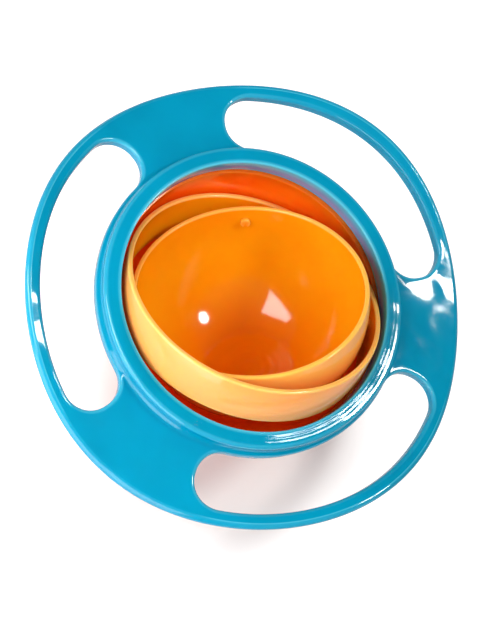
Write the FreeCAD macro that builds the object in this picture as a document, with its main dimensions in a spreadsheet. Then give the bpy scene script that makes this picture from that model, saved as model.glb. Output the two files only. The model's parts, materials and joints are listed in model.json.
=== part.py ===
"""Gimballed spill-proof baby bowl.

Four concentric mouldings share one centre.  A feeding bowl hangs on two pins in a gimbal
ring, the gimbal ring hangs on two pins in a closed shell, and the shell's rim is held in
the collar of a wavy ring with three handles.  Both pin axes pass through the centre, so
the bowl stays level however the handles are held.

Units are millimetres.  The origin is the middle of the foot and +Z runs up through the
collar.  +X is the axis of the gimbal ring's pins and runs out through the middle of a web.
"""
import FreeCAD, Part
import math
import os

import Sketcher
from FreeCAD import Placement, Rotation, Vector

SECTIONS_PER_HANDLE = 12             # sections of the wavy loft
TOLERANCE = 0.01                     # within which an edge is the one looked for

DRIVING_SIZES = [
    # feeding bowl: a truncated ball with its centre on both pin axes
    ("bowl_radius", 55.5),
    ("bowl_wall", 2.2),
    ("bowl_rise", 9.1),               # rim above the pin axes
    ("bowl_base_radius", 23.0),       # flat base that the bowl stands on when taken out
    # gimbal ring: a band of a ball around the bowl
    ("gimbal_gap", 4.3),              # from the bowl, radially
    ("gimbal_wall", 2.4),
    ("gimbal_rise", 9.5),             # upper edge above the pin axes
    ("gimbal_drop", 12.6),            # lower edge below them
    ("edge_round", 0.8),              # edges of the bowl and of the gimbal ring
    # outer shell: half a ball around the gimbal ring, on a foot ring
    ("shell_gap", 1.3),
    ("shell_wall", 2.4),
    ("lip_depth", 7.0),               # straight stretch that sits in the collar's skirt
    ("lip_round", 0.5),
    ("foot_radius", 27.0),
    ("foot_width", 2.4),
    ("foot_drop", 1.1),               # foot below the lowest point of the ball
    ("bead_radius", 0.45),            # snap bead round the shell's lip
    ("bead_drop", 3.5),               # bead below the pin axes
    ("bead_clearance", 0.05),
    # collar of the handle ring
    ("collar_ledge", 0.5),            # collar's bore wider than the shell's, all round
    ("collar_rise", 11.4),            # top of the collar above the pin axes
    ("collar_wall", 2.2),
    ("collar_hollow", 1.7),           # between the skirt round the shell and the outer wall
    ("collar_outer_round", 1.8),
    ("collar_inner_round", 0.8),
    ("collar_drop", 1.0),             # outer wall below the underside of the plate
    ("skirt_depth", 6.0),
    # wavy plate with the handles
    ("handle_count", 3),
    ("root_rise", 1.4),               # middle of the plate at the collar, above the axes
    ("rim_rise", 6.7),                # mean middle of the plate at its rim
    ("wave_height", 8.2),             # rim above that at a handle, below it at a web
    ("plate_thickness", 6.0),
    ("rim_round", 2.4),               # reach of the rounding in from the rim
    ("cove_radius", 3.0),             # between collar and plate
    ("cove_bite", 0.3),               # how far the cove starts inside the collar's wall
    ("lip_width", 2.3),               # plate left around the collar inside a finger slot
    ("slot_width", 26.1),
    ("slot_flat", 1.3),               # straight stretch across each end of a finger slot
    ("slot_turn", 1.6),               # slots from the crests of the wave, in degrees
    ("bar_width", 6.9),               # handle bar outside a finger slot
    ("web_angle", 33.0),              # between two slots, in degrees
    ("web_skin", 2.4),                # plate left above the hollow under a web
    ("web_edge", 2.6),                # plate left around that hollow
    ("hollow_corner", 4.0),
    # pins and what holds them
    ("pin_radius", 1.6),
    ("pin_clearance", 0.05),
    ("pin_end_gap", 0.3),
    ("pin_head_ledge", 0.9),          # head's radius more than the pin's
    ("pin_head_height", 2.0),
    ("pin_head_round", 0.6),
    ("seat_depth", 3.0),              # into the frame, from the collar's bore
    ("seat_roof", 0.55),              # collar left above a seat
    ("socket_floor", 1.0),            # wall left behind the blind hole in the gimbal ring
    ("boss_wall", 1.75),              # around the blind hole
    ("thrust_gap", 0.5),              # from the bowl to the boss beside it
    # how far the two inner pieces are swung in the stored pose, in degrees
    ("gimbal_swing", -26.0),
    ("bowl_swing", -18.8),
]

DERIVED_SIZES = [
    ("bowl_inner", "bowl_radius - bowl_wall"),
    ("bowl_depth", "sqrt(bowl_radius^2 - bowl_base_radius^2)"),
    ("floor_depth", "bowl_depth - bowl_wall"),
    ("hole_radius", "pin_radius + pin_clearance"),
    ("pin_head_radius", "pin_radius + pin_head_ledge"),
    ("boss_radius", "hole_radius + boss_wall"),
    ("boss_face", "bowl_radius + thrust_gap"),
    ("gimbal_inner", "bowl_radius + gimbal_gap"),
    ("gimbal_radius", "gimbal_inner + gimbal_wall"),
    ("socket_end", "gimbal_radius - socket_floor"),
    ("shell_inner", "gimbal_radius + shell_gap"),
    ("shell_radius", "shell_inner + shell_wall"),
    ("pivot_height", "shell_radius + foot_drop"),
    ("collar_inner", "shell_inner + collar_ledge"),
    ("collar_floor", "hole_radius + seat_roof"),
    ("seat_end", "collar_inner + seat_depth"),
    ("skirt_radius", "shell_radius + collar_wall"),
    ("collar_radius", "skirt_radius + collar_hollow + collar_wall"),
    ("collar_bottom", "root_rise - plate_thickness / 2 - collar_drop"),
    ("slot_inner", "collar_radius + lip_width"),
    ("slot_outer", "slot_inner + slot_width"),
    ("slot_corner", "(slot_width - slot_flat) / 2"),
    ("ring_radius", "slot_outer + bar_width"),
]

doc = FreeCAD.newDocument("gimbal_bowl")
sizes = doc.addObject("Spreadsheet::Sheet", "sizes")
cells = [(alias, str(value)) for alias, value in DRIVING_SIZES]
cells += [(alias, "=" + formula) for alias, formula in DERIVED_SIZES]
for row, (alias, content) in enumerate(cells, 1):
    sizes.set(f"A{row}", alias)
    sizes.set(f"B{row}", content)
    sizes.setAlias(f"B{row}", alias)
doc.recompute()


def size(alias):
    """Value of one named cell of the sheet."""
    return float(getattr(sizes, alias))


# ---------------------------------------------------------------- building blocks

def bound(kind, name, **formulas):
    """Part primitive whose properties follow formulas over the sheet."""
    thing = doc.addObject(kind, name)
    for name_of_property, formula in formulas.items():
        thing.setExpression(name_of_property.replace("__", "."), formula)
    return thing


def ball(name, radius, below="90 deg", above="90 deg"):
    """Ball about the common centre, cut flat at a latitude below and one above it."""
    return bound("Part::Sphere", name, Radius=radius, Angle1=f"-({below})", Angle2=above)


def tube(name, radius, bottom, length):
    """Upright cylinder about the common centre's axis."""
    return bound("Part::Cylinder", name, Radius=radius, Height=length, Placement__Base__z=bottom)


def across(name, radius, start, length, axis):
    """Cylinder lying along an axis through the common centre, from start outwards."""
    rod = bound("Part::Cylinder", name, Radius=radius, Height=length)
    rod.Placement.Rotation = Rotation(Vector(0, 0, 1), axis)
    for letter, share in zip("xyz", axis):
        if share:
            rod.setExpression(f"Placement.Base.{letter}", f"({start}) * ({share})")
    return rod


def fused(name, *things):
    """Union of several objects."""
    union = doc.addObject("Part::MultiFuse", name)
    union.Shapes = list(things)
    return union


def cut(name, base, *tools):
    """Base with every tool taken away."""
    tool = tools[0] if len(tools) == 1 else fused(name + "_tools", *tools)
    remainder = doc.addObject("Part::Cut", name)
    remainder.Base = base
    remainder.Tool = tool
    return remainder


def on_circle(radius, height):
    """Test for a circular edge of this radius and height about the common axis."""
    def test(edge):
        if edge.Degenerated or edge.Curve.TypeId != "Part::GeomCircle":
            return False
        middle = edge.Curve.Center
        wanted = Vector(0, 0, height)
        off_centre = middle.distanceToPoint(wanted)
        return abs(edge.Curve.Radius - radius) < TOLERANCE and off_centre < TOLERANCE
    return test


def rounded(name, base, *rounds):
    """Fillet of the base's edges: each round is a radius and a test for its edges."""
    doc.recompute()
    fillet = doc.addObject("Part::Fillet", name)
    fillet.Base = base
    fillet.Edges = [
        (number, radius, radius)
        for radius, test in rounds
        for number, edge in enumerate(base.Shape.Edges, 1)
        if test(edge)
    ]
    return fillet


def placed(thing, label, rotation=Rotation()):
    """Names a finished sub-part and puts its centre at the pivots, turned as stored."""
    thing.Label = label
    thing.Placement = Placement(Vector(0, 0, size("pivot_height")), rotation)
    thing.setExpression("Placement.Base.z", "sizes.pivot_height")
    sub_parts.append(thing)


sub_parts = []
gimbal_turn = Rotation(Vector(1, 0, 0), size("gimbal_swing"))
bowl_turn = gimbal_turn * Rotation(Vector(0, 1, 0), size("bowl_swing"))


# ---------------------------------------------------------------- inner bowl

def make_inner_bowl():
    """Feeding bowl: a ball open above the pins, with a flat base and a flat floor."""
    outside = ball("bowl_outside", "sizes.bowl_radius",
                   "asin(sizes.bowl_depth / sizes.bowl_radius)",
                   "asin(sizes.bowl_rise / sizes.bowl_radius)")
    inside = ball("bowl_inside", "sizes.bowl_inner",
                  "asin(sizes.floor_depth / sizes.bowl_inner)")
    pin_holes = across("bowl_pin_holes", "sizes.pin_radius", "-sizes.bowl_radius",
                       "2 * sizes.bowl_radius", Vector(0, 1, 0))
    wall = cut("bowl_wall_body", outside, inside, pin_holes)
    rise = size("bowl_rise")
    edge = size("edge_round")
    rim_outer = math.sqrt(size("bowl_radius") ** 2 - rise ** 2)
    rim_inner = math.sqrt(size("bowl_inner") ** 2 - rise ** 2)
    bowl = rounded("inner_bowl", wall,
                   (edge, on_circle(rim_outer, rise)),
                   (edge, on_circle(rim_inner, rise)))
    placed(bowl, "inner_bowl", bowl_turn)


# ---------------------------------------------------------------- gimbal ring

def make_gimbal_ring():
    """Band of a ball with two bosses inside for the bowl's pins."""
    outside = ball("gimbal_outside", "sizes.gimbal_radius",
                   "asin(sizes.gimbal_drop / sizes.gimbal_radius)",
                   "asin(sizes.gimbal_rise / sizes.gimbal_radius)")
    inside = ball("gimbal_inside", "sizes.gimbal_inner")
    band = cut("gimbal_band", outside, inside)
    edge = size("edge_round")
    radii = size("gimbal_radius"), size("gimbal_inner")
    heights = size("gimbal_rise"), -size("gimbal_drop")
    corners = [(edge, on_circle(math.sqrt(radius ** 2 - height ** 2), height))
               for radius in radii for height in heights]
    soft_band = rounded("gimbal_soft_band", band, *corners)
    bosses = []
    sockets = []
    for side, name in ((1, "rear"), (-1, "front")):
        outward = Vector(0, side, 0)
        bosses.append(across(f"boss_{name}", "sizes.boss_radius", "sizes.boss_face",
                             "sizes.socket_end - sizes.boss_face", outward))
        sockets.append(across(f"socket_{name}", "sizes.hole_radius", "sizes.bowl_inner",
                              "sizes.socket_end - sizes.bowl_inner", outward))
    pin_holes = across("gimbal_pin_holes", "sizes.pin_radius", "-sizes.shell_radius",
                       "2 * sizes.shell_radius", Vector(1, 0, 0))
    ring = cut("gimbal_ring", fused("gimbal_with_bosses", soft_band, *bosses),
               *sockets, pin_holes)
    placed(ring, "gimbal_ring", gimbal_turn)


# ---------------------------------------------------------------- outer shell

def make_outer_shell():
    """Closed half ball with a straight lip, a snap bead and a foot ring."""
    half = ball("shell_half", "sizes.shell_radius", above="0 deg")
    lip = tube("shell_lip", "sizes.shell_radius", "-sizes.lip_depth", "sizes.lip_depth")
    foot = tube("shell_foot", "sizes.foot_radius", "-sizes.pivot_height", "sizes.pivot_height")
    foot_hollow = tube("shell_foot_hollow", "sizes.foot_radius - sizes.foot_width",
                       "-sizes.pivot_height", "sizes.pivot_height")
    bead = bound("Part::Torus", "shell_bead", Radius1="sizes.shell_radius",
                 Radius2="sizes.bead_radius", Placement__Base__z="-sizes.bead_drop")
    outside = fused("shell_outside", half, lip, cut("shell_foot_ring", foot, foot_hollow), bead)
    inside = ball("shell_inside", "sizes.shell_inner")
    seats = across("shell_seats", "sizes.hole_radius", "-sizes.seat_end",
                   "2 * sizes.seat_end", Vector(1, 0, 0))
    hollowed = cut("shell_hollowed", outside, inside)
    soft = rounded("shell_soft", hollowed,
                   (size("lip_round"), on_circle(size("shell_inner"), 0)))
    placed(cut("outer_shell", soft, seats), "outer_shell")


# ---------------------------------------------------------------- handle ring

def make_collar():
    """Hollow ring that the shell's lip is pushed into from below."""
    body = doc.addObject("PartDesign::Body", "collar")
    roof = "sizes.collar_rise - sizes.collar_wall"
    corners = [
        ("sizes.collar_inner", "0"),
        ("sizes.collar_inner", "sizes.collar_rise"),
        ("sizes.collar_radius", "sizes.collar_rise"),
        ("sizes.collar_radius", "sizes.collar_bottom"),
        ("sizes.collar_radius - sizes.collar_wall", "sizes.collar_bottom"),
        ("sizes.collar_radius - sizes.collar_wall", roof),
        ("sizes.collar_inner + sizes.collar_wall", roof),
        ("sizes.collar_inner + sizes.collar_wall", "sizes.collar_floor"),
        ("sizes.skirt_radius", "sizes.collar_floor"),
        ("sizes.skirt_radius", "-sizes.skirt_depth"),
        ("sizes.shell_radius", "-sizes.skirt_depth"),
        ("sizes.shell_radius", "0"),
    ]
    sketch = body.newObject("Sketcher::SketchObject", "collar_section")
    plane = next(one for one in body.Origin.OriginFeatures if one.Role == "XZ_Plane")
    sketch.AttachmentSupport = [(plane, "")]
    sketch.MapMode = "FlatFace"
    points = [Vector(float(sketch.evalExpression(outward)), float(sketch.evalExpression(up)), 0)
              for outward, up in corners]
    count = len(points)
    for corner in range(count):
        sketch.addGeometry(Part.LineSegment(points[corner], points[(corner + 1) % count]))
    for corner in range(count):
        ends = corner, 2, (corner + 1) % count, 1
        sketch.addConstraint(Sketcher.Constraint("Coincident", *ends))
    for corner, (outward, up) in enumerate(corners):
        for kind, formula, value in (("DistanceX", outward, points[corner].x),
                                     ("DistanceY", up, points[corner].y)):
            constraint = Sketcher.Constraint(kind, -1, 1, corner, 1, value)
            number = sketch.addConstraint(constraint)
            sketch.setExpression(f"Constraints[{number}]", formula)
    turned = body.newObject("PartDesign::Revolution", "collar_turned")
    turned.Profile = sketch
    turned.ReferenceAxis = (sketch, ["V_Axis"])
    turned.Angle = 360
    rise = size("collar_rise")
    return rounded("soft_collar", body,
                   (size("collar_outer_round"), on_circle(size("collar_radius"), rise)),
                   (size("collar_inner_round"), on_circle(size("collar_inner"), rise)))


def plate_height(radius, angle):
    """Middle of the plate above the pin axes, at a radius and an angle in radians."""
    reach = (radius - size("collar_radius")) / (size("ring_radius") - size("collar_radius"))
    rim = size("rim_rise") - size("wave_height") * math.cos(size("handle_count") * angle)
    return size("root_rise") + (rim - size("root_rise")) * reach


def wavy_solid(section):
    """Closed loft round the axis of a section given as edges in radius and height."""
    count = int(size("handle_count"))
    steps = SECTIONS_PER_HANDLE * count
    wires = []
    for step in range(steps):
        angle = 2 * math.pi * step / steps + math.pi / count
        wire = Part.Wire(section(angle))
        wire.rotate(Vector(0, 0, 0), Vector(0, 0, 1), math.degrees(angle))
        wires.append(wire)
    return Part.makeLoft(wires, True, False, True)


def plate_section(angle):
    """Cove at the collar, a straight top, a rounded rim and a straight underside."""
    half = size("plate_thickness") / 2
    cove = size("cove_radius")
    start = size("collar_radius") - size("collar_wall") / 2
    wall = size("collar_radius") - size("cove_bite")
    inset = size("ring_radius") - size("rim_round")
    slack = cove * (1 - math.sqrt(0.5))

    def point(radius, lift):
        return Vector(radius, 0, plate_height(radius, angle) + lift)

    foot = point(wall + cove, half)
    top = Vector(wall, 0, foot.z + cove)
    bend = Vector(wall + slack, 0, foot.z + slack)
    inner_top = Vector(start, 0, top.z)
    rim_arc = Part.Arc(point(inset, half), point(size("ring_radius"), 0), point(inset, -half))
    return [
        Part.makeLine(inner_top, top),
        Part.Arc(top, bend, foot).toShape(),
        Part.makeLine(foot, point(inset, half)),
        rim_arc.toShape(),
        Part.makeLine(point(inset, -half), point(start, -half)),
        Part.makeLine(point(start, -half), inner_top),
    ]


def hollow_section(angle):
    """Space below the skin of a web, open downwards."""
    half = size("plate_thickness") / 2
    skin = half - size("web_skin")
    inner = size("collar_radius")
    outer = size("ring_radius")
    stops = (inner, skin), (outer, skin), (outer, -2 * half), (inner, -2 * half), (inner, skin)
    corners = [Vector(radius, 0, plate_height(radius, angle) + lift) for radius, lift in stops]
    return Part.makePolygon(corners).Edges


def sector_prism(inner, outer, half_angle, corner, middle):
    """Upright prism over a ring sector with round corners; angles are in radians."""
    def point(radius, angle):
        return Vector(radius * math.cos(angle), radius * math.sin(angle), 0)

    inset_outer = math.asin(corner / (outer - corner))
    inset_inner = math.asin(corner / (inner + corner))
    low, high = middle - half_angle, middle + half_angle
    edges = [
        Part.Arc(point(radius, low + inset), point(radius, middle), point(radius, high - inset))
        for radius, inset in ((outer, inset_outer), (inner, inset_inner))
    ]
    for end, turn in ((high, -1), (low, 1)):
        away = point(1, end - turn * math.pi / 2)
        outward = point(1, end)
        touches = []
        for radius, centre_radius, inset, side in (
                (outer, outer - corner, inset_outer, outward),
                (inner, inner + corner, inset_inner, outward * -1)):
            centre = point(centre_radius, end + turn * inset)
            bend = centre + (away + side).normalize() * corner
            touch = point(centre_radius * math.cos(inset), end)
            edges.append(Part.Arc(point(radius, end + turn * inset), bend, touch))
            touches.append(touch)
        edges.append(Part.LineSegment(*touches))
    reach = size("pivot_height")
    outline = Part.Wire(Part.__sortEdges__([edge.toShape() for edge in edges]))
    prism = Part.Face(outline).extrude(Vector(0, 0, 2 * reach))
    prism.translate(Vector(0, 0, -reach))
    return prism


def make_plate():
    """Wavy plate with a finger slot per handle and a hollow under each web."""
    count = int(size("handle_count"))
    pitch = 2 * math.pi / count
    turn = math.radians(size("slot_turn"))
    web_half = math.radians(size("web_angle")) / 2
    slots = [
        sector_prism(size("slot_inner"), size("slot_outer"), pitch / 2 - web_half,
                     size("slot_corner"), (index + 0.5) * pitch + turn)
        for index in range(count)
    ]
    under = wavy_solid(hollow_section)
    hollow_outer = size("ring_radius") - size("rim_round") - size("web_edge")
    hollow_half = web_half - math.asin(size("web_edge") / size("slot_inner"))
    hollows = [
        under.common(sector_prism(size("slot_inner"), hollow_outer, hollow_half,
                                  size("hollow_corner"), index * pitch + turn))
        for index in range(count)
    ]
    plate = doc.addObject("Part::Feature", "wavy_plate")
    plate.Shape = wavy_solid(plate_section).cut(slots + hollows)
    return plate


def make_handle_ring():
    """Collar and wavy plate in one moulding, with a bead groove and two pin seats."""
    groove = bound("Part::Torus", "bead_groove", Radius1="sizes.shell_radius",
                   Radius2="sizes.bead_radius + sizes.bead_clearance",
                   Placement__Base__z="-sizes.bead_drop")
    seats = across("collar_seats", "sizes.hole_radius", "-sizes.seat_end",
                   "2 * sizes.seat_end", Vector(1, 0, 0))
    moulding = fused("collar_and_plate", make_collar(), make_plate())
    placed(cut("handle_ring", moulding, groove, seats), "handle_ring")


# ---------------------------------------------------------------- pins

def make_pin(label, axis, head_seat, end, turn):
    """Headed pin pressed through a moulding from inside, its head flat below the shank."""
    shank_start = f"sqrt(({head_seat})^2 - sizes.pin_head_radius^2)"
    shank = across(f"{label}_shank", "sizes.pin_radius", shank_start,
                   f"{end} - sizes.pin_end_gap - {shank_start}", axis)
    head = across(f"{label}_blank", "sizes.pin_head_radius",
                  f"{shank_start} - sizes.pin_head_height", "sizes.pin_head_height", axis)
    doc.recompute()
    face = head.Placement.Base

    def round_face(edge):
        return edge.Closed and edge.Curve.Center.distanceToPoint(face) < TOLERANCE

    soft_head = rounded(f"{label}_soft", head, (size("pin_head_round"), round_face))
    flat = bound("Part::Box", f"{label}_flat", Length="4 * sizes.pin_head_radius",
                 Width="4 * sizes.pin_head_radius", Height="sizes.pin_head_radius")
    for letter, share in zip("xy", axis):
        flat.setExpression(f"Placement.Base.{letter}",
                           f"({shank_start}) * ({share}) - 2 * sizes.pin_head_radius")
    flat.setExpression("Placement.Base.z", "-sizes.pin_radius - sizes.pin_head_radius")
    placed(fused(label, shank, cut(f"{label}_head", soft_head, flat)), label, turn)


make_inner_bowl()
make_gimbal_ring()
make_outer_shell()
make_handle_ring()
for side, name in ((-1, "left"), (1, "right")):
    make_pin(f"gimbal_pin_{name}", Vector(side, 0, 0), "sizes.gimbal_inner", "sizes.seat_end",
             gimbal_turn)
for side, name in ((1, "rear"), (-1, "front")):
    make_pin(f"bowl_pin_{name}", Vector(0, side, 0), "sizes.bowl_inner", "sizes.socket_end",
             bowl_turn)
doc.recompute()

faulty = [thing.Name for thing in doc.Objects
          if "Invalid" in thing.State or "Error" in thing.State]
faulty += [thing.Label for thing in sub_parts
           if thing.Shape.isNull() or not thing.Shape.isValid()]
if faulty:
    raise RuntimeError("these failed: " + ", ".join(faulty))

os.makedirs("parts", exist_ok=True)
for thing in sub_parts:
    thing.Shape.exportStep(f"parts/{thing.Label}.step")
    box = thing.Shape.BoundBox
    print(f"{thing.Label}: {len(thing.Shape.Solids)} solid, {thing.Shape.Volume:.0f} mm3,",
          f"z {box.ZMin:.2f} to {box.ZMax:.2f}")
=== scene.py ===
"""Looks of the gimballed spill-proof baby bowl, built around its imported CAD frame.

The sections follow the object as it is put together: the closed shell, the handle ring
that snaps over its lip, the gimbal ring on its two pins and the feeding bowl on two more.
Lengths in the sections are millimetres from the common centre of the two pin axes.
"""
import json
import math

import bmesh
import bpy
import numpy
from mathutils import Matrix, Vector


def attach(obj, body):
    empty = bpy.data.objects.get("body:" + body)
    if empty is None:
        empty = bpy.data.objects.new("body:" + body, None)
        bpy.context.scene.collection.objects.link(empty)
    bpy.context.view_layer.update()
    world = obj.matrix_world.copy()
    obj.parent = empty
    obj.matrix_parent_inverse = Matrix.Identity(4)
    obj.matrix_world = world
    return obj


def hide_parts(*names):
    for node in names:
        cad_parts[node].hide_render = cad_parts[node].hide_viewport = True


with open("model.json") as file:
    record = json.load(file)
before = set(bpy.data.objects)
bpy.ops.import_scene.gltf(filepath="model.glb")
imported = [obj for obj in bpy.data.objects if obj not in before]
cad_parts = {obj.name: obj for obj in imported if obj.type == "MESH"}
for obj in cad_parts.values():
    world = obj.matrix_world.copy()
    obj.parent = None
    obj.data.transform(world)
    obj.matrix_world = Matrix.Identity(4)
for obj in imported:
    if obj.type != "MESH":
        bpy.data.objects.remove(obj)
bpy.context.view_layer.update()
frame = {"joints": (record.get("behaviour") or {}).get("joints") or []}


# ---------------------------------------------------------------- outer shell
# The closed half ball that everything swings in.  Red-orange polypropylene, injection
# moulded with its foot ring and snap bead in one shot; its lip is pushed up into the
# handle ring's skirt from below.

joints = {joint["name"]: joint for joint in frame["joints"]}
centre = Vector(joints["gimbal_tilt"]["pos_m"])
upright = Matrix.Identity(3)


def arc(middle, radius, start, end, count=8):
    """Points of an outline round any middle, between two angles from outwards."""
    angles = [math.radians(start + (end - start) * step / count) for step in range(count + 1)]
    return [(middle[0] + radius * math.cos(angle), middle[1] + radius * math.sin(angle))
            for angle in angles]


def ball_arc(radius, start, end, count):
    """Points of an outline along a ball about the centre, between two latitudes."""
    return arc((0, 0), radius, start, end, count)


def latitude_at(depth, radius):
    """Latitude of a ball's surface at a depth below its middle, in degrees."""
    return -math.degrees(math.asin(depth / radius))


def softened(corners, count=5):
    """Outline with its corners rounded: each corner is a radius out, a height and a round."""
    outline = []
    for number, (out, up, reach) in enumerate(corners):
        here = Vector((out, up))
        before = Vector(corners[number - 1][:2]) - here
        after = Vector(corners[(number + 1) % len(corners)][:2]) - here
        if not reach:
            outline.append((out, up))
            continue
        half = before.angle(after) / 2
        back = min(reach / math.tan(half), 0.49 * before.length, 0.49 * after.length)
        first = here + before.normalized() * back
        last = here + after.normalized() * back
        for step in range(count + 1):
            share = step / count
            bend = first.lerp(here, share).lerp(here.lerp(last, share), share)
            outline.append((bend.x, bend.y))
    return outline


def solid(name, points, faces, turn=upright, crease=35):
    """Mesh object of points in millimetres from the centre, smooth but for sharp creases."""
    mesh = bpy.data.meshes.new(name)
    spots = [centre + turn @ Vector(point) * 0.001 for point in points]
    mesh.from_pydata(spots, [], faces)
    mesh.polygons.foreach_set("use_smooth", [True] * len(mesh.polygons))
    piece = bpy.data.objects.new(name, mesh)
    bpy.context.collection.objects.link(piece)
    if crease:
        mesh.set_sharp_from_angle(angle=math.radians(crease))
    return piece


def turned(name, outline, turn=upright, steps=360):
    """Solid of revolution; an outline that starts and ends on the axis is closed there."""
    on_axis = outline[0][0] == 0
    ring = outline[1:-1] if on_axis else outline
    points = []
    for step in range(steps):
        angle = 2 * math.pi * step / steps
        points += [(out * math.cos(angle), out * math.sin(angle), up) for out, up in ring]
    size = len(ring)
    faces = []
    for step in range(steps):
        here = step * size
        there = (step + 1) % steps * size
        for row in range(size if not on_axis else size - 1):
            after = (row + 1) % size
            faces.append((here + row, there + row, there + after, here + after))
    if on_axis:
        points += [(0, 0, outline[0][1]), (0, 0, outline[-1][1])]
        first, last = len(points) - 2, len(points) - 1
        for step in range(steps):
            here = step * size
            there = (step + 1) % steps * size
            faces.append((first, there, here))
            faces.append((here + size - 1, there + size - 1, last))
    return solid(name, points, faces, turn)


def rod(name, radius, start, end, axis, steps=48):
    """Closed cylinder along an axis through the centre, between two distances from it."""
    piece = turned(name, [(0, start), (radius, start), (radius, end), (0, end)], upright, steps)
    aim = Vector((0, 0, 1)).rotation_difference(Vector(axis)).to_matrix().to_4x4()
    about = Matrix.Translation(centre)
    piece.data.transform(about @ aim @ about.inverted())
    return piece


def combined(piece, tool, operation="DIFFERENCE"):
    """Piece with a tool cut out of it or joined to it for good."""
    change = piece.modifiers.new("change", "BOOLEAN")
    change.operation = operation
    change.solver = "EXACT"
    change.object = tool
    bpy.context.view_layer.objects.active = piece
    bpy.ops.object.modifier_apply(modifier=change.name)
    bpy.data.objects.remove(tool)


def mark_edges(piece):
    """Stores at each point how tightly the skin bends outwards; 1 is a round of 0.8 mm."""
    mesh = piece.data
    spots = numpy.empty(3 * len(mesh.vertices))
    mesh.vertices.foreach_get("co", spots)
    spots = spots.reshape(-1, 3) * 1000
    normals = numpy.empty(3 * len(mesh.vertices))
    mesh.vertex_normals.foreach_get("vector", normals)
    normals = normals.reshape(-1, 3)
    ends = numpy.empty(2 * len(mesh.edges), dtype=numpy.int32)
    mesh.edges.foreach_get("vertices", ends)
    first, second = ends.reshape(-1, 2).T
    run = spots[second] - spots[first]
    turn = normals[second] - normals[first]
    bend = (turn * run).sum(axis=1) / numpy.maximum((run * run).sum(axis=1), 0.01)
    edge = numpy.zeros(len(mesh.vertices))
    numpy.maximum.at(edge, first, bend)
    numpy.maximum.at(edge, second, bend)
    layer = mesh.attributes.new("edge", "FLOAT", "POINT")
    layer.data.foreach_set("value", numpy.clip(0.8 * edge, 0, 1))


def linear(code):
    """Linear colour of an sRGB hex code."""
    parts = [int(code[place:place + 2], 16) / 255 for place in (0, 2, 4)]
    return [part / 12.92 if part <= 0.04045 else ((part + 0.055) / 1.055) ** 2.4
            for part in parts] + [1.0]


def add(tree, kind, sockets=None, **settings):
    """Adds a node; sockets gives each input a value, or an output to be linked from."""
    node = tree.nodes.new("ShaderNode" + kind)
    for name, value in settings.items():
        setattr(node, name, value)
    for name, value in (sockets or {}).items():
        if isinstance(value, bpy.types.NodeSocket):
            tree.links.new(value, node.inputs[name])
        else:
            node.inputs[name].default_value = value
    return node


def per_mm(pitch):
    """Scale of a texture whose pattern repeats about every pitch millimetres."""
    return 1000 / pitch


def bare_material(name):
    """New material whose node tree is still empty."""
    material = bpy.data.materials.new(name)
    material.use_nodes = True
    material.node_tree.nodes.clear()
    return material


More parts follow.
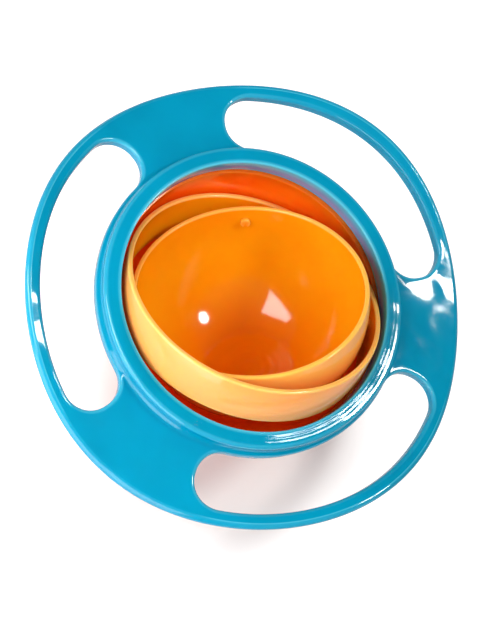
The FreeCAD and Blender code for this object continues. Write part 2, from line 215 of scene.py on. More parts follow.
def glossy_polypropylene(name, colour, deep, painted_rim_light, roughness, glow, seed, painted_spot=None,
                         outside_sheen=None, rings=0.0, reach=6.0):
    """Polypropylene from a polished mould: a high even gloss over a clear strong colour.

    Close up, the gloss wavers a little where the skin shrank, and it is dulled by handling
    marks, hairline scratches and a few specks, and the colour drifts along the melt's flow.
    A painted spot is a spot, the distances over which it fades, and the colour painted near
    it for painted shade or a painted reflection; the outside colour is a painted sheen on
    faces turned away from the centre, for broad light glancing off them; rings is the
    radius within which the marks of the mould's turning show; reach is how far light
    spreads in the plastic, more where the wall is thin and lit from behind.
    """
    material = bare_material(name)
    tree = material.node_tree
    coordinates = add(tree, "TexCoord")
    where = coordinates.outputs["Object"]
    place = add(tree, "Mapping", {"Vector": where, "Location": (seed, seed * 0.7, -seed)})
    spot = place.outputs["Vector"]
    # the melt's flow: pale and deep drifts about 30 mm long
    flow = add(tree, "TexNoise", {"Vector": spot, "Scale": per_mm(30), "Detail": 3.0,
                                  "Roughness": 0.55})
    drift = add(tree, "ValToRGB", {"Fac": flow.outputs["Fac"]})
    drift.color_ramp.elements[0].position = 0.3
    drift.color_ramp.elements[0].color = linear(deep)
    drift.color_ramp.elements[1].position = 0.62
    drift.color_ramp.elements[1].color = linear(colour)
    body = drift.outputs["Color"]
    if painted_spot:
        # a colour painted about a spot: painted shade on the bowl, a painted reflection on the
        # collar's bore
        heart, full_to, gone_at, shade = painted_spot
        away = add(tree, "VectorMath", {0: where, 1: centre + heart * 0.001}, operation="DISTANCE")
        close = add(tree, "MapRange", {"Value": away.outputs["Value"],
                                       "From Min": full_to * 0.001, "From Max": gone_at * 0.001,
                                       "To Min": 1.0, "To Max": 0.0},
                    interpolation_type="SMOOTHSTEP")
        body = add(tree, "Mix", {0: close.outputs[0], 6: body, 7: linear(shade)},
                   data_type="RGBA").outputs[2]
    if outside_sheen:
        # painted sheen: faces turned away from the centre are painted paler, for broad light
        # glancing off them
        from_centre = add(tree, "VectorMath", {0: where, 1: centre}, operation="SUBTRACT")
        outward = add(tree, "VectorMath", {0: from_centre.outputs[0]}, operation="NORMALIZE")
        faces_out = add(tree, "VectorMath", {0: outward.outputs[0],
                                             1: coordinates.outputs["Normal"]},
                        operation="DOT_PRODUCT")
        sheen_mask = add(tree, "MapRange", {"Value": faces_out.outputs["Value"], "From Min": -0.3,
                                      "From Max": 0.5})
        body = add(tree, "Mix", {0: sheen_mask.outputs[0], 6: body, 7: linear(outside_sheen)},
                   data_type="RGBA").outputs[2]
    # painted light: edges and rims are painted paler, standing in for light that passes through
    # them from both sides
    bend = add(tree, "Attribute", attribute_name="edge").outputs["Fac"]
    thin = add(tree, "MapRange", {"Value": bend, "From Min": 0.25, "From Max": 1.0})
    edged = add(tree, "Mix", {0: thin.outputs[0], 6: body, 7: linear(painted_rim_light)}, data_type="RGBA")
    # rare specks of regrind, up to 0.4 mm across
    cells = add(tree, "TexVoronoi", {"Vector": spot, "Scale": per_mm(9)})
    rare = add(tree, "Math", {0: cells.outputs["Color"], 1: 0.9}, operation="GREATER_THAN")
    near = add(tree, "Math", {0: cells.outputs["Distance"], 1: 0.022}, operation="LESS_THAN")
    speck = add(tree, "Math", {0: rare.outputs[0], 1: near.outputs[0]}, operation="MULTIPLY")
    tint = add(tree, "Mix", {0: speck.outputs[0], 6: edged.outputs[2],
                             7: [part * 0.35 for part in linear(deep)[:3]] + [1.0]},
               data_type="RGBA")
    # smudges from handling: soft patches about 14 mm across, broken up more finely inside
    patches = add(tree, "TexNoise", {"Vector": spot, "Scale": per_mm(14), "Detail": 6.0,
                                     "Roughness": 0.6, "Distortion": 0.6})
    smudge = add(tree, "MapRange", {"Value": patches.outputs["Fac"], "From Min": 0.5,
                                    "From Max": 0.72, "To Min": roughness,
                                    "To Max": roughness + 0.07})
    # hairline scratches a few centimetres long and about 0.2 mm wide
    lines = add(tree, "Mapping", {"Vector": spot, "Rotation": (0.6, 0.9, 0.4 + seed),
                                  "Scale": (40.0, 0.9, 0.9)})
    hair = add(tree, "TexNoise", {"Vector": lines.outputs["Vector"], "Scale": per_mm(18),
                                  "Detail": 2.0, "Roughness": 0.4})
    scratch = add(tree, "MapRange", {"Value": hair.outputs["Fac"], "From Min": 0.75,
                                     "From Max": 0.775})
    rough = add(tree, "Math", {0: scratch.outputs["Result"], 1: 0.16,
                               2: smudge.outputs["Result"]}, operation="MULTIPLY_ADD")
    # the skin's waver, drawn at 2.4 mm so that it shows; the real one is about 1 mm
    skin = add(tree, "TexNoise", {"Vector": spot, "Scale": per_mm(2.4), "Detail": 1.0})
    waver = add(tree, "Bump", {"Height": skin.outputs["Fac"], "Strength": 0.35,
                               "Distance": 0.00002})
    groove = add(tree, "Bump", {"Height": scratch.outputs["Result"], "Strength": 0.3,
                                "Distance": 0.00002, "Normal": waver.outputs["Normal"]},
                 invert=True)
    relief = groove.outputs["Normal"]
    if rings:
        # fine rings about the axis out to a radius, 1.9 mm apart; the wave texture repeats
        # every 0.314 of its own unit
        turning = add(tree, "TexWave", {"Vector": where, "Scale": 0.314 * per_mm(1.9),
                                        "Distortion": 0.6, "Detail": 1.0},
                      wave_type="RINGS", rings_direction="Z")
        flat = add(tree, "VectorMath", {0: where, 1: (1.0, 1.0, 0.0)}, operation="MULTIPLY")
        radius = add(tree, "VectorMath", {0: flat.outputs[0]}, operation="LENGTH")
        inside = add(tree, "MapRange", {"Value": radius.outputs["Value"],
                                        "From Min": rings * 0.001,
                                        "From Max": (rings + 3) * 0.001, "To Min": 0.32,
                                        "To Max": 0.0})
        relief = add(tree, "Bump", {"Height": turning.outputs["Fac"], "Strength": inside.outputs[0],
                                    "Distance": 0.00005, "Normal": relief}).outputs["Normal"]
        # everywhere the thick plastic has sunk or swollen a few tenths over 26 mm
        sunk = add(tree, "TexNoise", {"Vector": spot, "Scale": per_mm(26), "Detail": 0.4,
                                      "Distortion": 0.8})
        relief = add(tree, "Bump", {"Height": sunk.outputs["Fac"], "Strength": 1.0,
                                    "Distance": 0.0011, "Normal": relief}).outputs["Normal"]
    skin_shader = add(tree, "BsdfPrincipled", {
        "Base Color": tint.outputs[2], "Roughness": rough.outputs[0], "IOR": 1.49,
        "Normal": relief})
    # light carries a few millimetres into the unfilled plastic and through thin walls
    skin_shader.inputs["Subsurface Weight"].default_value = glow
    skin_shader.inputs["Subsurface Radius"].default_value = (1.0, 0.5, 0.12)
    skin_shader.inputs["Subsurface Scale"].default_value = reach * 0.001
    add(tree, "OutputMaterial", {"Surface": skin_shader.outputs["BSDF"]})
    return material


shell_radius = 65.9
shell_inner = 63.5
lip_depth = 7.0
lip_slack = 0.04
lip_slope = 16
lip_round = 0.5
bead_height = -3.5
bead_radius = 0.44
foot_radius = 27.0
foot_width = 2.4
foot_bottom = -67.0
foot_round = 0.7
seat_radius = 1.65
seat_end = 67.0

foot_in_radius = foot_radius - foot_width
foot_top = math.sqrt(shell_radius ** 2 - foot_radius ** 2)
foot_in_top = math.sqrt(shell_radius ** 2 - foot_in_radius ** 2)
under_lip = latitude_at(lip_depth, shell_radius)
beside_foot = latitude_at(foot_top, shell_radius)
inside_foot = latitude_at(foot_in_top, shell_radius)
lip_radius = shell_radius - lip_slack
# from the base up the outside, over the lip, which slopes inwards, and down the inside
shell_outline = (
    ball_arc(shell_radius, -90, inside_foot, 24)
    + softened([(foot_in_radius, -foot_in_top, 0), (foot_in_radius, foot_bottom, foot_round),
                (foot_radius, foot_bottom, foot_round), (foot_radius, -foot_top, 0)])[1:-1]
    + ball_arc(shell_radius, beside_foot, under_lip, 60)
    + [(lip_radius, -lip_depth), (lip_radius, -3.96)]
    + arc((lip_radius, bead_height), bead_radius, -90, 90)
    + [(lip_radius, -0.3), (65.6, 0)]
    + arc((shell_inner + lip_round, -0.98), lip_round, 90 + lip_slope, 180, 7)
    + ball_arc(shell_inner, -1.5, -90, 90)
)
shell_outline[0] = (0, -shell_radius)
shell_outline[-1] = (0, -shell_inner)
outer_shell = turned("outer_shell_moulding", shell_outline)
combined(outer_shell, rod("shell_seats", seat_radius, -seat_end, seat_end, (1, 0, 0)))
mark_edges(outer_shell)
outer_shell.data.materials.append(
    glossy_polypropylene("red_orange_polypropylene_gloss_moulded", "FF6C0C", "FA5C08", "FC6A1C",
                         0.08, 0.8, 0.11, reach=14.0))
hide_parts("outer_shell")
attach(outer_shell, "frame")


# ---------------------------------------------------------------- handle ring
# The collar, its skirt and the wavy plate with three finger slots.  One blue
# polypropylene moulding with every edge rounded for a small child's hands; the collar
# is hollow below, and so is the plate between two slots.

collar_inner = 64.0
collar_radius = 72.0
collar_rise = 11.4
collar_wall = 2.2
skirt_depth = 6.0
plate_half = 3.0
plate_root = 1.4
rim_mean = 6.7
wave = 8.2
cove = 3.0
ring_radius = 107.3
rim_reach = 2.4
rim_inset = ring_radius - rim_reach
slot_inner = 74.3
slot_outer = 100.4
slot_corner = 12.4
slot_half = 43.5
slot_middle = 61.6
slot_end_steps = 32
top_round = 1.7
under_round = 1.0
slot_dish = 0.3
slot_dish_reach = 4.0
collar_dish = 0.25
collar_dish_reach = 6.0
dish_start = 3.0
handles = 3
pitch = 2 * math.pi / handles


def plate_middle(out, angle):
    """Height of the middle of the plate at a radius and an angle in radians."""
    reach = (out - collar_radius) / (ring_radius - collar_radius)
    rim = rim_mean - wave * math.cos(handles * angle)
    return plate_root + (rim - plate_root) * reach


def cove_height(out):
    """Height of the cove between collar and plate above the plate's top."""
    run = min(cove, max(0.0, cove - round(out - collar_radius, 4)))
    return cove - math.sqrt(cove ** 2 - run ** 2)


def slot_edge():
    """Outline of half a slot seen from its end's middle: directions and distances."""
    hub = (slot_inner + slot_outer) / 2
    lean = math.asin(slot_corner / hub)
    hub_angle = math.radians(slot_half) - lean
    hub_spot = Vector((hub * math.cos(hub_angle), hub * math.sin(hub_angle)))
    end = math.radians(slot_half) + math.pi / 2
    spots = []
    for middle_out, inwards in ((slot_inner + slot_corner, True),
                                (slot_outer - slot_corner, False)):
        tilt = math.radians(slot_half) - math.asin(slot_corner / middle_out)
        middle = Vector((middle_out * math.cos(tilt), middle_out * math.sin(tilt)))
        start, stop = (tilt + math.pi, end) if inwards else (end, tilt)
        for step in range(slot_end_steps + 1):
            turn = start + (stop - start) * step / slot_end_steps
            spots.append(middle + slot_corner * Vector((math.cos(turn), math.sin(turn))))
    return hub_spot, hub_angle, spots


def slot_ray(share, out, limit):
    """Where the line from a slot's end to a spot of the sector's border leaves the slot."""
    hub_spot, hub_angle, spots = limit
    spot = Vector((out * math.cos(share), out * math.sin(share)))
    if abs(share) <= hub_angle:
        edge = slot_inner if out < slot_inner else slot_outer
        return spot * (edge / out), spot
    side = 1 if share > 0 else -1
    ray = (Vector((spot.x, spot.y * side)) - hub_spot).normalized()
    for first, second in zip(spots, spots[1:]):
        run = second - first
        cross = ray.x * run.y - ray.y * run.x
        if abs(cross) < 1e-9:
            continue
        gap = first - hub_spot
        far = (gap.x * run.y - gap.y * run.x) / cross
        along = (gap.x * ray.y - gap.y * ray.x) / cross
        if far > 0 and -1e-6 <= along <= 1 + 1e-6:
            leaves = hub_spot + ray * far
            return Vector((leaves.x, leaves.y * side)), spot


def plate_spot(flat, turn, top, from_slot, web):
    """Point of the plate above or below a flat spot of a sector, before any rounding.

    Shrinkage leaves a web's top dished by a fraction of a millimetre between its edges.
    """
    out = flat.length
    angle = math.atan2(flat.y, flat.x) + turn
    height = plate_middle(out, angle)
    height += plate_half + cove_height(out) if top else -plate_half
    if top:
        from_collar = out - collar_radius
        dish = (slot_dish * math.exp(-from_slot / slot_dish_reach)
                + collar_dish * math.exp(-from_collar / collar_dish_reach))
        from_border = min(1.0, from_collar / dish_start, (rim_inset - out) / dish_start)
        height += web * dish * max(0.0, from_border)
    return [out * math.cos(angle), out * math.sin(angle), height]


across_steps = 120
side_steps = 26
side_crowding = 1.7
side_stops = [collar_radius + (rim_inset - collar_radius) * (step / side_steps) ** side_crowding
              for step in range(1, side_steps)]
# border of a third of the plate: along the collar, out, back along the rim, and in
border = [(pitch * (step / across_steps - 0.5), collar_radius)
          for step in range(across_steps + 1)]
border += [(pitch / 2, out) for out in side_stops]
border += [(pitch * (0.5 - step / across_steps), rim_inset)
           for step in range(across_steps + 1)]
border += [(-pitch / 2, out) for out in reversed(side_stops)]

round_steps = 7
field_steps = 16
wall_steps = 4
crowding = 1.4
crowding_reach = 12.0
# a web begins 30 degrees from the slot's middle and is whole 12 degrees further on
web_start = 30
web_fade = 12
limit = slot_edge()
ring_points = []
ring_faces = []
ring_index = {}


def ring_point(spot):
    """Number of a point of the handle ring, shared where two patches meet."""
    key = tuple(round(part, 4) for part in spot)
    if key not in ring_index:
        ring_index[key] = len(ring_points)
        ring_points.append(spot)
    return ring_index[key]


for sector in range(handles):
    turn = math.radians(slot_middle) + pitch * sector
    columns = []
    for share, out in border:
        edge, far = slot_ray(share, out, limit)
        run = far - edge
        length = run.length
        way = run / length
        # the rows crowd together towards the collar, where the cove curves
        near_collar = max(0.0, 1.0 - (out - collar_radius) / crowding_reach)
        power = 1.0 + crowding * near_collar
        web = (abs(share) - math.radians(web_start)) / math.radians(web_fade)
        web = min(1.0, max(0.0, web))
        column = []
        for top, edge_round in ((True, top_round), (False, under_round)):
            reach = min(edge_round, 0.8 * length)
            row = []
            for step in range(round_steps):
                bend = math.radians(90 * step / round_steps)
                offset = reach * (1 - math.cos(bend))
                drop = edge_round * (1 - math.sin(bend))
                spot = plate_spot(edge + way * offset, turn, top, offset, web)
                spot[2] += -drop if top else drop
                row.append(spot)
            for step in range(field_steps + 1):
                left = (length - reach) * (1 - step / field_steps) ** power
                flat = far - way * left
                row.append(plate_spot(flat, turn, top, length - left, web))
            column.append(row)
        top_row, under_row = column
        walls = [[high + (low - high) * step / wall_steps
                  for high, low in zip(top_row[0], under_row[0])]
                 for step in range(1, wall_steps)]
        columns.append([ring_point(spot) for spot in top_row[::-1] + walls + under_row])
    for number, column in enumerate(columns):
        beside = columns[(number + 1) % len(columns)]
        for row in range(len(column) - 1):
            ring_faces.append((column[row], column[row + 1], beside[row + 1], beside[row]))

# the rounded rim joins top and underside; its arc reaches out to the ring's full radius
rim_bulge = (plate_half ** 2 + rim_reach ** 2) / (2 * rim_reach)
rim_half = math.degrees(math.asin(plate_half / rim_bulge))
rim_arc = arc((ring_radius - rim_bulge, 0), rim_bulge, rim_half, -rim_half, 14)
rim_arc[0] = (rim_inset, plate_half)
rim_arc[-1] = (rim_inset, -plate_half)

# collar, from the plate's underside round its hollow, its skirt and its top to the plate
collar_bottom = -2.6
hollow_top = 9.2
skirt_radius = 68.1
skirt_top = 2.2
groove_radius = 0.5
relief_reach = 1.7
bore_round = 0.8
collar_round = 1.8
wall_inside = collar_radius - collar_wall
bore_outside = collar_inner + collar_wall
collar_outline = (
    [(collar_radius, plate_root - plate_half)]
    + softened([(collar_radius, -1.8, 0), (collar_radius, collar_bottom, 0.5),
                (wall_inside, collar_bottom, 0.5), (wall_inside, hollow_top, 0.8),
                (bore_outside, hollow_top, 0.8), (bore_outside, skirt_top, 0),
                (skirt_radius, skirt_top, 0.6), (skirt_radius, -skirt_depth, 0.4),
                (shell_radius, -skirt_depth, 0.3), (shell_radius, -4.0, 0)])[1:]
    + arc((shell_radius, bead_height), groove_radius, -90, 90)[1:]
    + softened([(shell_radius, -2.9, 0), (shell_radius, 0, 0),
                (collar_inner + relief_reach, 0.02, 0), (collar_inner + relief_reach, 0.9, 0.3),
                (collar_inner, 2.6, 0.6), (collar_inner, 5.0, 0)])
    + arc((collar_inner + bore_round, collar_rise - bore_round), bore_round, 180, 90)
    + [(collar_inner + 2.5, collar_rise), (collar_radius - 3.5, collar_rise)]
    + arc((collar_radius - collar_round, collar_rise - collar_round), collar_round, 90, 0, 10)
    + [(collar_radius, 8.6), (collar_radius, plate_root + plate_half + cove)]
)
around = across_steps * handles
first_angle = math.radians(slot_middle) - pitch / 2
for outline, lifted in ((collar_outline, False), (rim_arc, True)):
    rows = []
    for step in range(around):
        angle = first_angle + 2 * math.pi * step / around
        row = []
        for out, up in outline:
            height = up + plate_middle(out, angle) if lifted else up
            row.append(ring_point([out * math.cos(angle), out * math.sin(angle), height]))
        rows.append(row)
    for step, row in enumerate(rows):
        beside = rows[(step + 1) % around]
        for place in range(len(row) - 1):
            ring_faces.append((row[place], row[place + 1], beside[place + 1], beside[place]))

handle_ring = solid("handle_ring_moulding", ring_points, ring_faces, crease=0)
welded = bmesh.new()
welded.from_mesh(handle_ring.data)
bmesh.ops.remove_doubles(welded, verts=welded.verts, dist=0.000004)
bmesh.ops.recalc_face_normals(welded, faces=welded.faces)
welded.to_mesh(handle_ring.data)
welded.free()

# each web is hollow from below, under a skin that follows its top
web_skin = 2.4
web_edge = 2.6
hollow_corner = 4.0
hollow_outer = rim_inset - web_edge
hollow_half = pitch / 2 - math.radians(slot_half) - math.asin(web_edge / slot_inner)
hollow_layers = 6
hollow_steps = 12
hollow_bottom = -12.0


def web_hollow(turn):
    """Block with rounded corners that fills the hollow under a web."""
    outer_out = hollow_outer - hollow_corner
    inner_out = slot_inner + hollow_corner
    outer_tilt = hollow_half - math.asin(hollow_corner / outer_out)
    inner_tilt = hollow_half - math.asin(hollow_corner / inner_out)
    sideways = hollow_half + math.pi / 2
    corners = []
    for out, tilt, start, stop in ((outer_out, outer_tilt, outer_tilt, sideways),
                                   (inner_out, inner_tilt, sideways, inner_tilt + math.pi)):
        for step in range(hollow_steps + 1):
            bend = start + (stop - start) * step / hollow_steps
            corners.append((out * math.cos(tilt) + hollow_corner * math.cos(bend),
                            out * math.sin(tilt) + hollow_corner * math.sin(bend)))
    inner_side = []
    outer_side = []
    for step in range(1, hollow_steps):
        angle = inner_tilt * (1 - 2 * step / hollow_steps)
        inner_side.append((slot_inner * math.cos(angle), slot_inner * math.sin(angle)))
        angle = -outer_tilt * (1 - 2 * step / hollow_steps)
        outer_side.append((hollow_outer * math.cos(angle), hollow_outer * math.sin(angle)))
    flat = corners + inner_side + [(x, -y) for x, y in reversed(corners)] + outer_side
    hub = Vector(((hollow_outer + slot_inner) / 2, 0))
    count = len(flat)
    points = []
    for layer in range(1, hollow_layers + 1):
        for spot in flat:
            here = hub.lerp(Vector(spot), layer / hollow_layers)
            out = here.length
            angle = math.atan2(here.y, here.x) + turn
            points.append((out * math.cos(angle), out * math.sin(angle),
                           plate_middle(out, angle) + plate_half - web_skin))
    points += [(x, y, hollow_bottom) for x, y, z in points[-count:]]
    faces = [tuple(range(count)), tuple(reversed(range(len(points) - count, len(points))))]
    for layer in range(hollow_layers):
        for step in range(count):
            here = layer * count + step
            beside = layer * count + (step + 1) % count
            faces.append((here, here + count, beside + count, beside))
    return solid("web_hollow", points, faces, crease=0)


for number in range(handles):
    combined(handle_ring, web_hollow(math.radians(slot_middle) + pitch * (number + 0.5)))
combined(handle_ring, rod("ring_seats", seat_radius, -seat_end, seat_end, (1, 0, 0)))
handle_ring.data.set_sharp_from_angle(angle=math.radians(38))
mark_edges(handle_ring)
# painted reflection: the shell's red-orange light on the foot of the collar's bore is painted in
# lavender; the distances are from a spot below the centre, so they grow up the bore
bore_painted_reflection = (Vector((0, 0, -30)), 70.5, 77, "9480B4")
handle_ring.data.materials.append(
    glossy_polypropylene("blue_polypropylene_gloss_moulded", "008CAF", "0084A6", "4CB6D0",
                         0.06, 0.1, 0.37, painted_spot=bore_painted_reflection, rings=70.5))
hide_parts("handle_ring")
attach(handle_ring, "frame")


# ---------------------------------------------------------------- gimbal ring
# The band between shell and bowl, which swings on two pins through the collar.  Orange
# polypropylene with a painted sheen that pales its outer face, moulded with two bosses
# inside, each with a blind hole.


def latitude(spot):
    """Latitude of an outline's point above the level of the pins, in degrees."""
    return math.degrees(math.atan2(spot[1], spot[0]))


def ball_rim(outer, inner, height, edge=0.8):
    """Outline over the upper rim of a ball-shaped wall, from outside to inside."""
    up = height - edge
    out = math.sqrt((outer - edge) ** 2 - up ** 2)
    back = math.sqrt((inner + edge) ** 2 - up ** 2)
    return (arc((out, up), edge, latitude((out, up)), 90)
            + arc((back, up), edge, 90, 180 + latitude((back, up))))


bowl_axis = Vector(joints["bowl_tilt"]["axis"])
gimbal_swing = math.atan2(bowl_axis.z, bowl_axis.y)
gimbal_turn = Matrix.Rotation(gimbal_swing, 3, "X")

gimbal_radius = 62.2
gimbal_inner = 59.8
gimbal_rise = 9.5
gimbal_drop = 12.6
boss_radius = 3.4
boss_face = 56.0
socket_start = 53.3
socket_end = 61.2
pin_radius = 1.6

over = ball_rim(gimbal_radius, gimbal_inner, gimbal_rise)
under = [(out, -up) for out, up in ball_rim(gimbal_radius, gimbal_inner, gimbal_drop)]
gimbal_outline = (
    ball_arc(gimbal_radius, latitude(under[0]), latitude(over[0]), 24)[1:-1]
    + over
    + ball_arc(gimbal_inner, latitude(over[-1]), latitude(under[-1]), 24)[1:-1]
    + under[::-1]
)
gimbal_ring = turned("gimbal_ring_moulding", gimbal_outline, gimbal_turn)
for side in (1, -1):
    outward = gimbal_turn @ Vector((0, side, 0))
    combined(gimbal_ring, rod("boss", boss_radius, boss_face, socket_end, outward), "UNION")
    combined(gimbal_ring, rod("socket", seat_radius, socket_start, socket_end, outward))
combined(gimbal_ring, rod("pin_holes", pin_radius, -shell_radius, shell_radius, (1, 0, 0)))
gimbal_ring.data.set_sharp_from_angle(angle=math.radians(35))
mark_edges(gimbal_ring)
# painted sheen: the ring's outer face is painted paler
gimbal_ring.data.materials.append(
    glossy_polypropylene("gimbal_orange_polypropylene_gloss_moulded", "FF9F0C", "FC9806", "FFBC68",
                         0.1, 0.6, 0.53, outside_sheen="FAA456"))
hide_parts("gimbal_ring")
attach(gimbal_ring, "gimbal")


# ---------------------------------------------------------------- gimbal pins
# Two small headed pins, pressed out through the gimbal ring and running in the collar.
# Orange polypropylene like the bowl's own, with a flat on the head's lower side.

head_radius = 2.5
head_height = 2.0
head_round = 0.6
head_flat = -1.6
pin_chamfer = 0.3
gimbal_pin_end = 66.7


def headed_pin(name, axis, seat, end, turn):
    """Pin pressed in from inside: a rounded head with a flat below, and a long shank."""
    start = math.sqrt(seat ** 2 - head_radius ** 2)
    outline = ([(0, start - head_height)]
               + arc((head_radius - head_round, start - head_height + head_round),
                     head_round, -90, 0)
               + [(head_radius, start), (pin_radius, start), (pin_radius, end - pin_chamfer),
                  (pin_radius - pin_chamfer, end), (0, end)])
    pin = turned(name, outline, upright, 64)
    aim = Matrix((Vector((0, 0, 1)).cross(Vector(axis)), Vector((0, 0, 1)), Vector(axis)))
    aim = (turn @ aim.transposed()).to_4x4()
    about = Matrix.Translation(centre)
    # this block, wider than the head, takes the flat off it and ends where the shank begins
    corners = [(x, y, z) for x in (-3, 3) for y in (-6, head_flat)
               for z in (start - 3, start - 0.001)]
    sides = [(0, 1, 3, 2), (4, 6, 7, 5), (0, 4, 5, 1), (2, 3, 7, 6), (0, 2, 6, 4), (1, 5, 7, 3)]
    combined(pin, solid(name + "_flat", corners, sides, crease=0))
    pin.data.transform(about @ aim @ about.inverted())
    pin.data.set_sharp_from_angle(angle=math.radians(35))
    mark_edges(pin)
    return pin


pin_plastic = glossy_polypropylene("pin_polypropylene_gloss_moulded", "FC9A0C", "F88C04", "FFB040",
                                   0.1, 0.4, 0.71)
for side, name in ((-1, "left"), (1, "right")):
    pin = headed_pin(f"gimbal_pin_{name}_moulding", (side, 0, 0), gimbal_inner,
                     gimbal_pin_end, gimbal_turn)
    pin.data.materials.append(pin_plastic)
    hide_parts(f"gimbal_pin_{name}")
    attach(pin, "gimbal")


# ---------------------------------------------------------------- feeding bowl
# The bowl itself, hung on its own two pins in the gimbal ring.  Orange polypropylene,
# moulded with a rolled rim and a flat base to stand on when it is lifted out.

bowl_swing = math.radians(-18.8)
bowl_turn = gimbal_turn @ Matrix.Rotation(bowl_swing, 3, "Y")
bowl_radius = 55.5
bowl_inner = 53.3
bowl_rise = 9.1
base_radius = 23.0
base_round = 0.8
floor_wall = 2.2
floor_round = 9.0
swells = 3
swell_height = 0.1
swells_outer = 16.5
swells_width = 13.5
swell_steps = 48
bowl_pin_holes_end = 58.0
base_depth = math.sqrt(bowl_radius ** 2 - base_radius ** 2)
floor_depth = base_depth - floor_wall
floor_edge = math.sqrt(bowl_inner ** 2 - floor_depth ** 2)

over = ball_rim(bowl_radius, bowl_inner, bowl_rise)
base_latitude = latitude_at(base_depth, bowl_radius)
floor_latitude = latitude_at(floor_depth, bowl_inner)
beside_base = ball_arc(bowl_radius, base_latitude + 3, base_latitude + 3, 1)[0]
beside_floor = ball_arc(bowl_inner, floor_latitude + 6, floor_latitude + 6, 1)[0]
floor_blend = softened([(*beside_floor, 0), (floor_edge, -floor_depth, floor_round),
                        (floor_edge - 6, -floor_depth, 0)], 12)
# three faint swells in the floor, left by the turning of the mould's core
floor_swells = []
for step in range(swell_steps + 1):
    out = swells_outer - swells_width * step / swell_steps
    swell = swell_height / 2 * (1 - math.cos(2 * math.pi * swells * step / swell_steps))
    floor_swells.append((out, swell - floor_depth))
bowl_outline = (
    [(0, -base_depth)]
    + softened([(base_radius - 3, -base_depth, 0), (base_radius, -base_depth, base_round),
                (*beside_base, 0)])
    + ball_arc(bowl_radius, base_latitude + 4, latitude(over[0]), 70)[:-1]
    + over
    + ball_arc(bowl_inner, latitude(over[-1]), floor_latitude + 7, 80)[1:]
    + floor_blend
    + floor_swells
    + [(0, -floor_depth)]
)
inner_bowl = turned("feeding_bowl_moulding", bowl_outline, bowl_turn)
combined(inner_bowl, rod("bowl_pin_holes", pin_radius, -bowl_pin_holes_end,
                         bowl_pin_holes_end, bowl_axis))
inner_bowl.data.set_sharp_from_angle(angle=math.radians(35))
mark_edges(inner_bowl)
# painted shade: the colour is painted deeper about the base, where the bowl is darkest because less
# light comes through the wall
bowl_base_painted_shade = (bowl_turn @ Vector((0, 0, -base_depth)), 16, 62, "E87402")
# painted sheen: the bowl's outer face is painted paler too
inner_bowl.data.materials.append(
    glossy_polypropylene("orange_polypropylene_gloss_moulded", "FDA40C", "FA9C07", "FFB854",
                         0.08, 0.4, 0.89, painted_spot=bowl_base_painted_shade, outside_sheen="FBAC50"))
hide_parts("inner_bowl")
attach(inner_bowl, "bowl")


# ---------------------------------------------------------------- bowl pins
# The bowl's own pair, pressed out through its wall into the gimbal ring's blind holes.
# They are the same pins, shorter in the shank.

bowl_pin_end = 60.9
for side, name in ((1, "rear"), (-1, "front")):
    pin = headed_pin(f"bowl_pin_{name}_moulding", (0, side, 0), bowl_inner, bowl_pin_end,
                     bowl_turn)
    pin.data.materials.append(pin_plastic)
    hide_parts(f"bowl_pin_{name}")
    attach(pin, "bowl")


# ---------------------------------------------------------------- studio
# A matt white tabletop without edges, on which the bowl stands level on its foot, in a
# pale room.  A round key lamp hangs high on the right, with soft panels low on both sides,
# fills on the left and behind, a gridded strip for the collar and a soft box for the bowl.


def table_white(name):
    """Matt white board: it keeps soft shadows and is lifted to plain white for the eye."""
    material = bare_material(name)
    tree = material.node_tree
    where = add(tree, "TexCoord").outputs["Object"]
    grain = add(tree, "TexNoise", {"Vector": where, "Scale": per_mm(3.0), "Detail": 4.0})
    bump = add(tree, "Bump", {"Height": grain.outputs["Fac"], "Strength": 0.1, "Distance": 0.0001})
    board = add(tree, "BsdfDiffuse", {"Color": (0.74, 0.74, 0.74, 1.0),
                                      "Normal": bump.outputs["Normal"]})
    # painted shadow: the lift is left off in a disc below and in front of the bowl, painting a pool
    # of shade about the contact shadow
    middle = add(tree, "VectorMath", {0: where, 1: (0.015, -0.04, 0.0)}, operation="DISTANCE")
    away = add(tree, "MapRange", {"Value": middle.outputs["Value"], "From Min": 0.048,
                                  "From Max": 0.092, "To Min": 0.0, "To Max": 0.5},
               interpolation_type="SMOOTHSTEP")
    reach = add(tree, "MapRange", {"Value": middle.outputs["Value"], "From Min": 0.25,
                                   "From Max": 0.9, "To Min": 0.0, "To Max": 0.5},
                interpolation_type="SMOOTHSTEP")
    level = add(tree, "Math", {0: away.outputs[0], 1: reach.outputs[0]}, operation="ADD")
    lift = add(tree, "Emission", {"Color": (1.0, 1.0, 1.0, 1.0), "Strength": level.outputs[0]})
    seen = add(tree, "LightPath").outputs["Is Camera Ray"]
    dark = add(tree, "Emission", {"Color": (0.0, 0.0, 0.0, 1.0), "Strength": 0.0})
    lifted = add(tree, "MixShader", {0: seen, 1: dark.outputs[0], 2: lift.outputs[0]})
    total = add(tree, "AddShader", {0: board.outputs[0], 1: lifted.outputs[0]})
    add(tree, "OutputMaterial", {"Surface": total.outputs[0]})
    return material


table_reach = 2500.0
table_height = -centre.z * 1000
table_rows = 12
table_steps = 48
table_points = [(0, 0, table_height)]
table_faces = []
for row in range(1, table_rows + 1):
    out = table_reach * (row / table_rows) ** 2
    for step in range(table_steps):
        angle = 2 * math.pi * step / table_steps
        table_points.append((out * math.cos(angle), out * math.sin(angle), table_height))
for step in range(table_steps):
    after = (step + 1) % table_steps
    table_faces.append((0, 1 + step, 1 + after))
    for row in range(table_rows - 1):
        here = 1 + table_steps * row
        there = here + table_steps
        table_faces.append((here + step, there + step, there + after, here + after))
tabletop = solid("tabletop", table_points, table_faces, crease=0)
tabletop.data.materials.append(table_white("white_board_matt"))


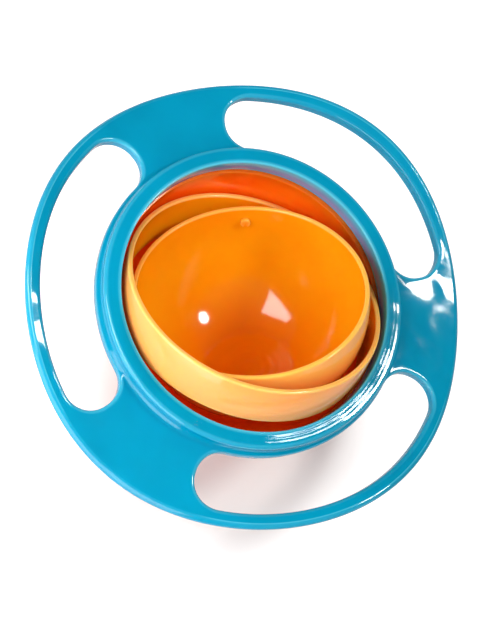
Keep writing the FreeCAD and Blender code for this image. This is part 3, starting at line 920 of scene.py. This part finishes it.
def lamp(name, spot, half_width, half_height, radiance, colour="FFFFFF", shape="RECTANGLE",
         mirrored=True):
    """Area lamp at a spot, shining inwards; its half sizes are two vectors across it."""
    data = bpy.data.lights.new(name, "AREA")
    data.shape = shape
    data.size = 2.0
    data.size_y = 2.0
    area = 4.0 * half_width.cross(half_height).length * 1e-6
    if shape == "DISK":
        area *= math.pi / 4
    data.energy = radiance * math.pi * area
    data.color = linear(colour)[:3]
    source = bpy.data.objects.new(name, data)
    bpy.context.collection.objects.link(source)
    back = half_width.cross(half_height).normalized()
    if back.dot(spot) < 0:
        half_width = -half_width
        back = -back
    matrix = Matrix((half_width * 0.001, half_height * 0.001, back)).transposed().to_4x4()
    source.matrix_world = Matrix.Translation(centre + spot * 0.001) @ matrix
    source.visible_glossy = mirrored
    return source


key_way = Vector((0.53, 0.17, 0.83)).normalized()
key_side = key_way.orthogonal().normalized()
lamp("key_lamp", key_way * 700, key_side * 70, key_way.cross(key_side) * 70, 48.0, "FFFDF8",
     "DISK")
low_way = Vector((-0.62, -0.78, 0)).normalized()
low_side = Vector((0.78, -0.62, 0)).normalized()
lamp("low_panel", low_way * 400 + Vector((0, 0, 90)), low_side * 190, Vector((0, 0, 150)), 3.7)
right_way = Vector((0.82, -0.57, 0)).normalized()
right_side = Vector((0.57, 0.82, 0)).normalized()
lamp("right_panel", right_way * 600 + Vector((0, 0, 60)), right_side * 120,
     Vector((0, 0, 110)), 0.8)

# a diffuse fill from the left that leaves no mirror image in the gloss
fill_way = Vector((-0.9, -0.28, 0.34)).normalized()
fill_side = Vector((0.28, -0.9, 0)).normalized()
lamp("left_fill", fill_way * 520, fill_side * 240, fill_way.cross(fill_side) * 75, 3.6,
     mirrored=False)

# a low one behind, whose light comes through the shell's wall
lamp("back_fill", Vector((-30, 380, 5)), Vector((230, 0, 0)), Vector((0, 0, 55)), 3.4,
     mirrored=False)

# a strip behind a honeycomb grid, aimed at the front of the collar and mirrored there alone;
# an area lamp keeps its power as its spread narrows, so that gain is divided out
grid_way = Vector((0.345, 0.238, 0.908)).normalized()
grid_side = Vector((34, 27, -20))
grid_reach = math.radians(4.6)
grid_gain = math.tan(grid_reach) / (math.tan(grid_reach) - grid_reach)
grid_strip = lamp("grid_strip", Vector((272, 110, 650)), grid_side,
                  grid_way.cross(grid_side).normalized() * 14, 34.0 / grid_gain)
grid_strip.data.spread = 2 * grid_reach

# a four-sided soft box up on the left, which the eye sees only mirrored in the bowl; each
# corner is on the line along which the bowl mirrors it, from a spot of the bowl's inside
box_distance = 420
box_corners = []
for spot, way in (((22.6, 22.2, -42.8), (-0.548, -0.494, 0.674)),
                  ((34.2, 9.0, -39.9), (-0.879, -0.008, 0.476)),
                  ((32.5, 6.8, -41.7), (-0.832, 0.062, 0.551)),
                  ((20.6, 11.4, -47.8), (-0.484, -0.118, 0.867))):
    box_corners.append(Vector(spot) + Vector(way).normalized() * box_distance)
side_box = solid("side_box", box_corners, [(0, 1, 2, 3)], crease=0)
box_face = bare_material("side_box_face")
glow = add(box_face.node_tree, "Emission", {"Color": (1.0, 1.0, 1.0, 1.0), "Strength": 11.0})
add(box_face.node_tree, "OutputMaterial", {"Surface": glow.outputs[0]})
side_box.data.materials.append(box_face)
side_box.visible_camera = False

# the room: white to the eye; for the rest soft and brighter in front than behind
world = bpy.data.worlds.new("pale_room")
bpy.context.scene.world = world
world.use_nodes = True
tree = world.node_tree
tree.nodes.clear()
sky = add(tree, "SeparateXYZ", {0: add(tree, "TexCoord").outputs["Generated"]})
front = add(tree, "MapRange", {"Value": sky.outputs["Y"], "From Min": 0.45, "From Max": -0.45,
                               "To Min": 0.26, "To Max": 0.58}, interpolation_type="SMOOTHSTEP")
high = add(tree, "MapRange", {"Value": sky.outputs["Z"], "From Min": 0.12, "From Max": 0.5,
                              "To Min": 0.2, "To Max": 1.0}, interpolation_type="SMOOTHSTEP")
level = add(tree, "Math", {0: front.outputs[0], 1: high.outputs[0]}, operation="MULTIPLY")
kind = add(tree, "LightPath")
mirrored = add(tree, "MapRange", {"Value": kind.outputs["Is Glossy Ray"], "To Min": 1.0,
                                  "To Max": 0.18})
level = add(tree, "Math", {0: level.outputs[0], 1: mirrored.outputs[0]}, operation="MULTIPLY")
room = add(tree, "Background", {"Color": (1.0, 1.0, 1.0, 1.0), "Strength": level.outputs[0]})
plain = add(tree, "Background", {"Color": (1.0, 1.0, 1.0, 1.0), "Strength": 1.0})
mixed = add(tree, "MixShader", {0: kind.outputs["Is Camera Ray"], 1: room.outputs[0],
                                2: plain.outputs[0]})
add(tree, "OutputWorld", {"Surface": mixed.outputs[0]})


# ---------------------------------------------------------------- camera
# A long lens high above the bowl and in front of it on the left, rolled so that the
# handle ring leans to the left.

camera_azimuth = math.radians(-41.85)
camera_elevation = math.radians(66.42)
camera_roll = math.radians(50.38)
camera_distance = 600.3
off_middle = (4.96, 9.22)
lens = 72.43

flat_way = Vector((math.sin(camera_azimuth), -math.cos(camera_azimuth), 0))
away = flat_way * math.cos(camera_elevation) + Vector((0, 0, math.sin(camera_elevation)))
level_right = Vector((math.cos(camera_azimuth), math.sin(camera_azimuth), 0))
level_up = away.cross(level_right)
right = level_right * math.cos(camera_roll) + level_up * math.sin(camera_roll)
up = away.cross(right)
eye = away * camera_distance - right * off_middle[0] - up * off_middle[1]
camera_data = bpy.data.cameras.new("camera")
camera_data.lens = lens
camera_data.sensor_width = 36.0
camera_data.sensor_fit = "AUTO"
camera_data.clip_start = 0.01
camera_data.clip_end = 20.0
camera = bpy.data.objects.new("camera", camera_data)
bpy.context.collection.objects.link(camera)
camera.matrix_world = (Matrix.Translation(centre + eye * 0.001)
                       @ Matrix((right, up, away)).transposed().to_4x4())
bpy.context.scene.camera = camera

bpy.context.scene.view_settings.view_transform = "Standard"
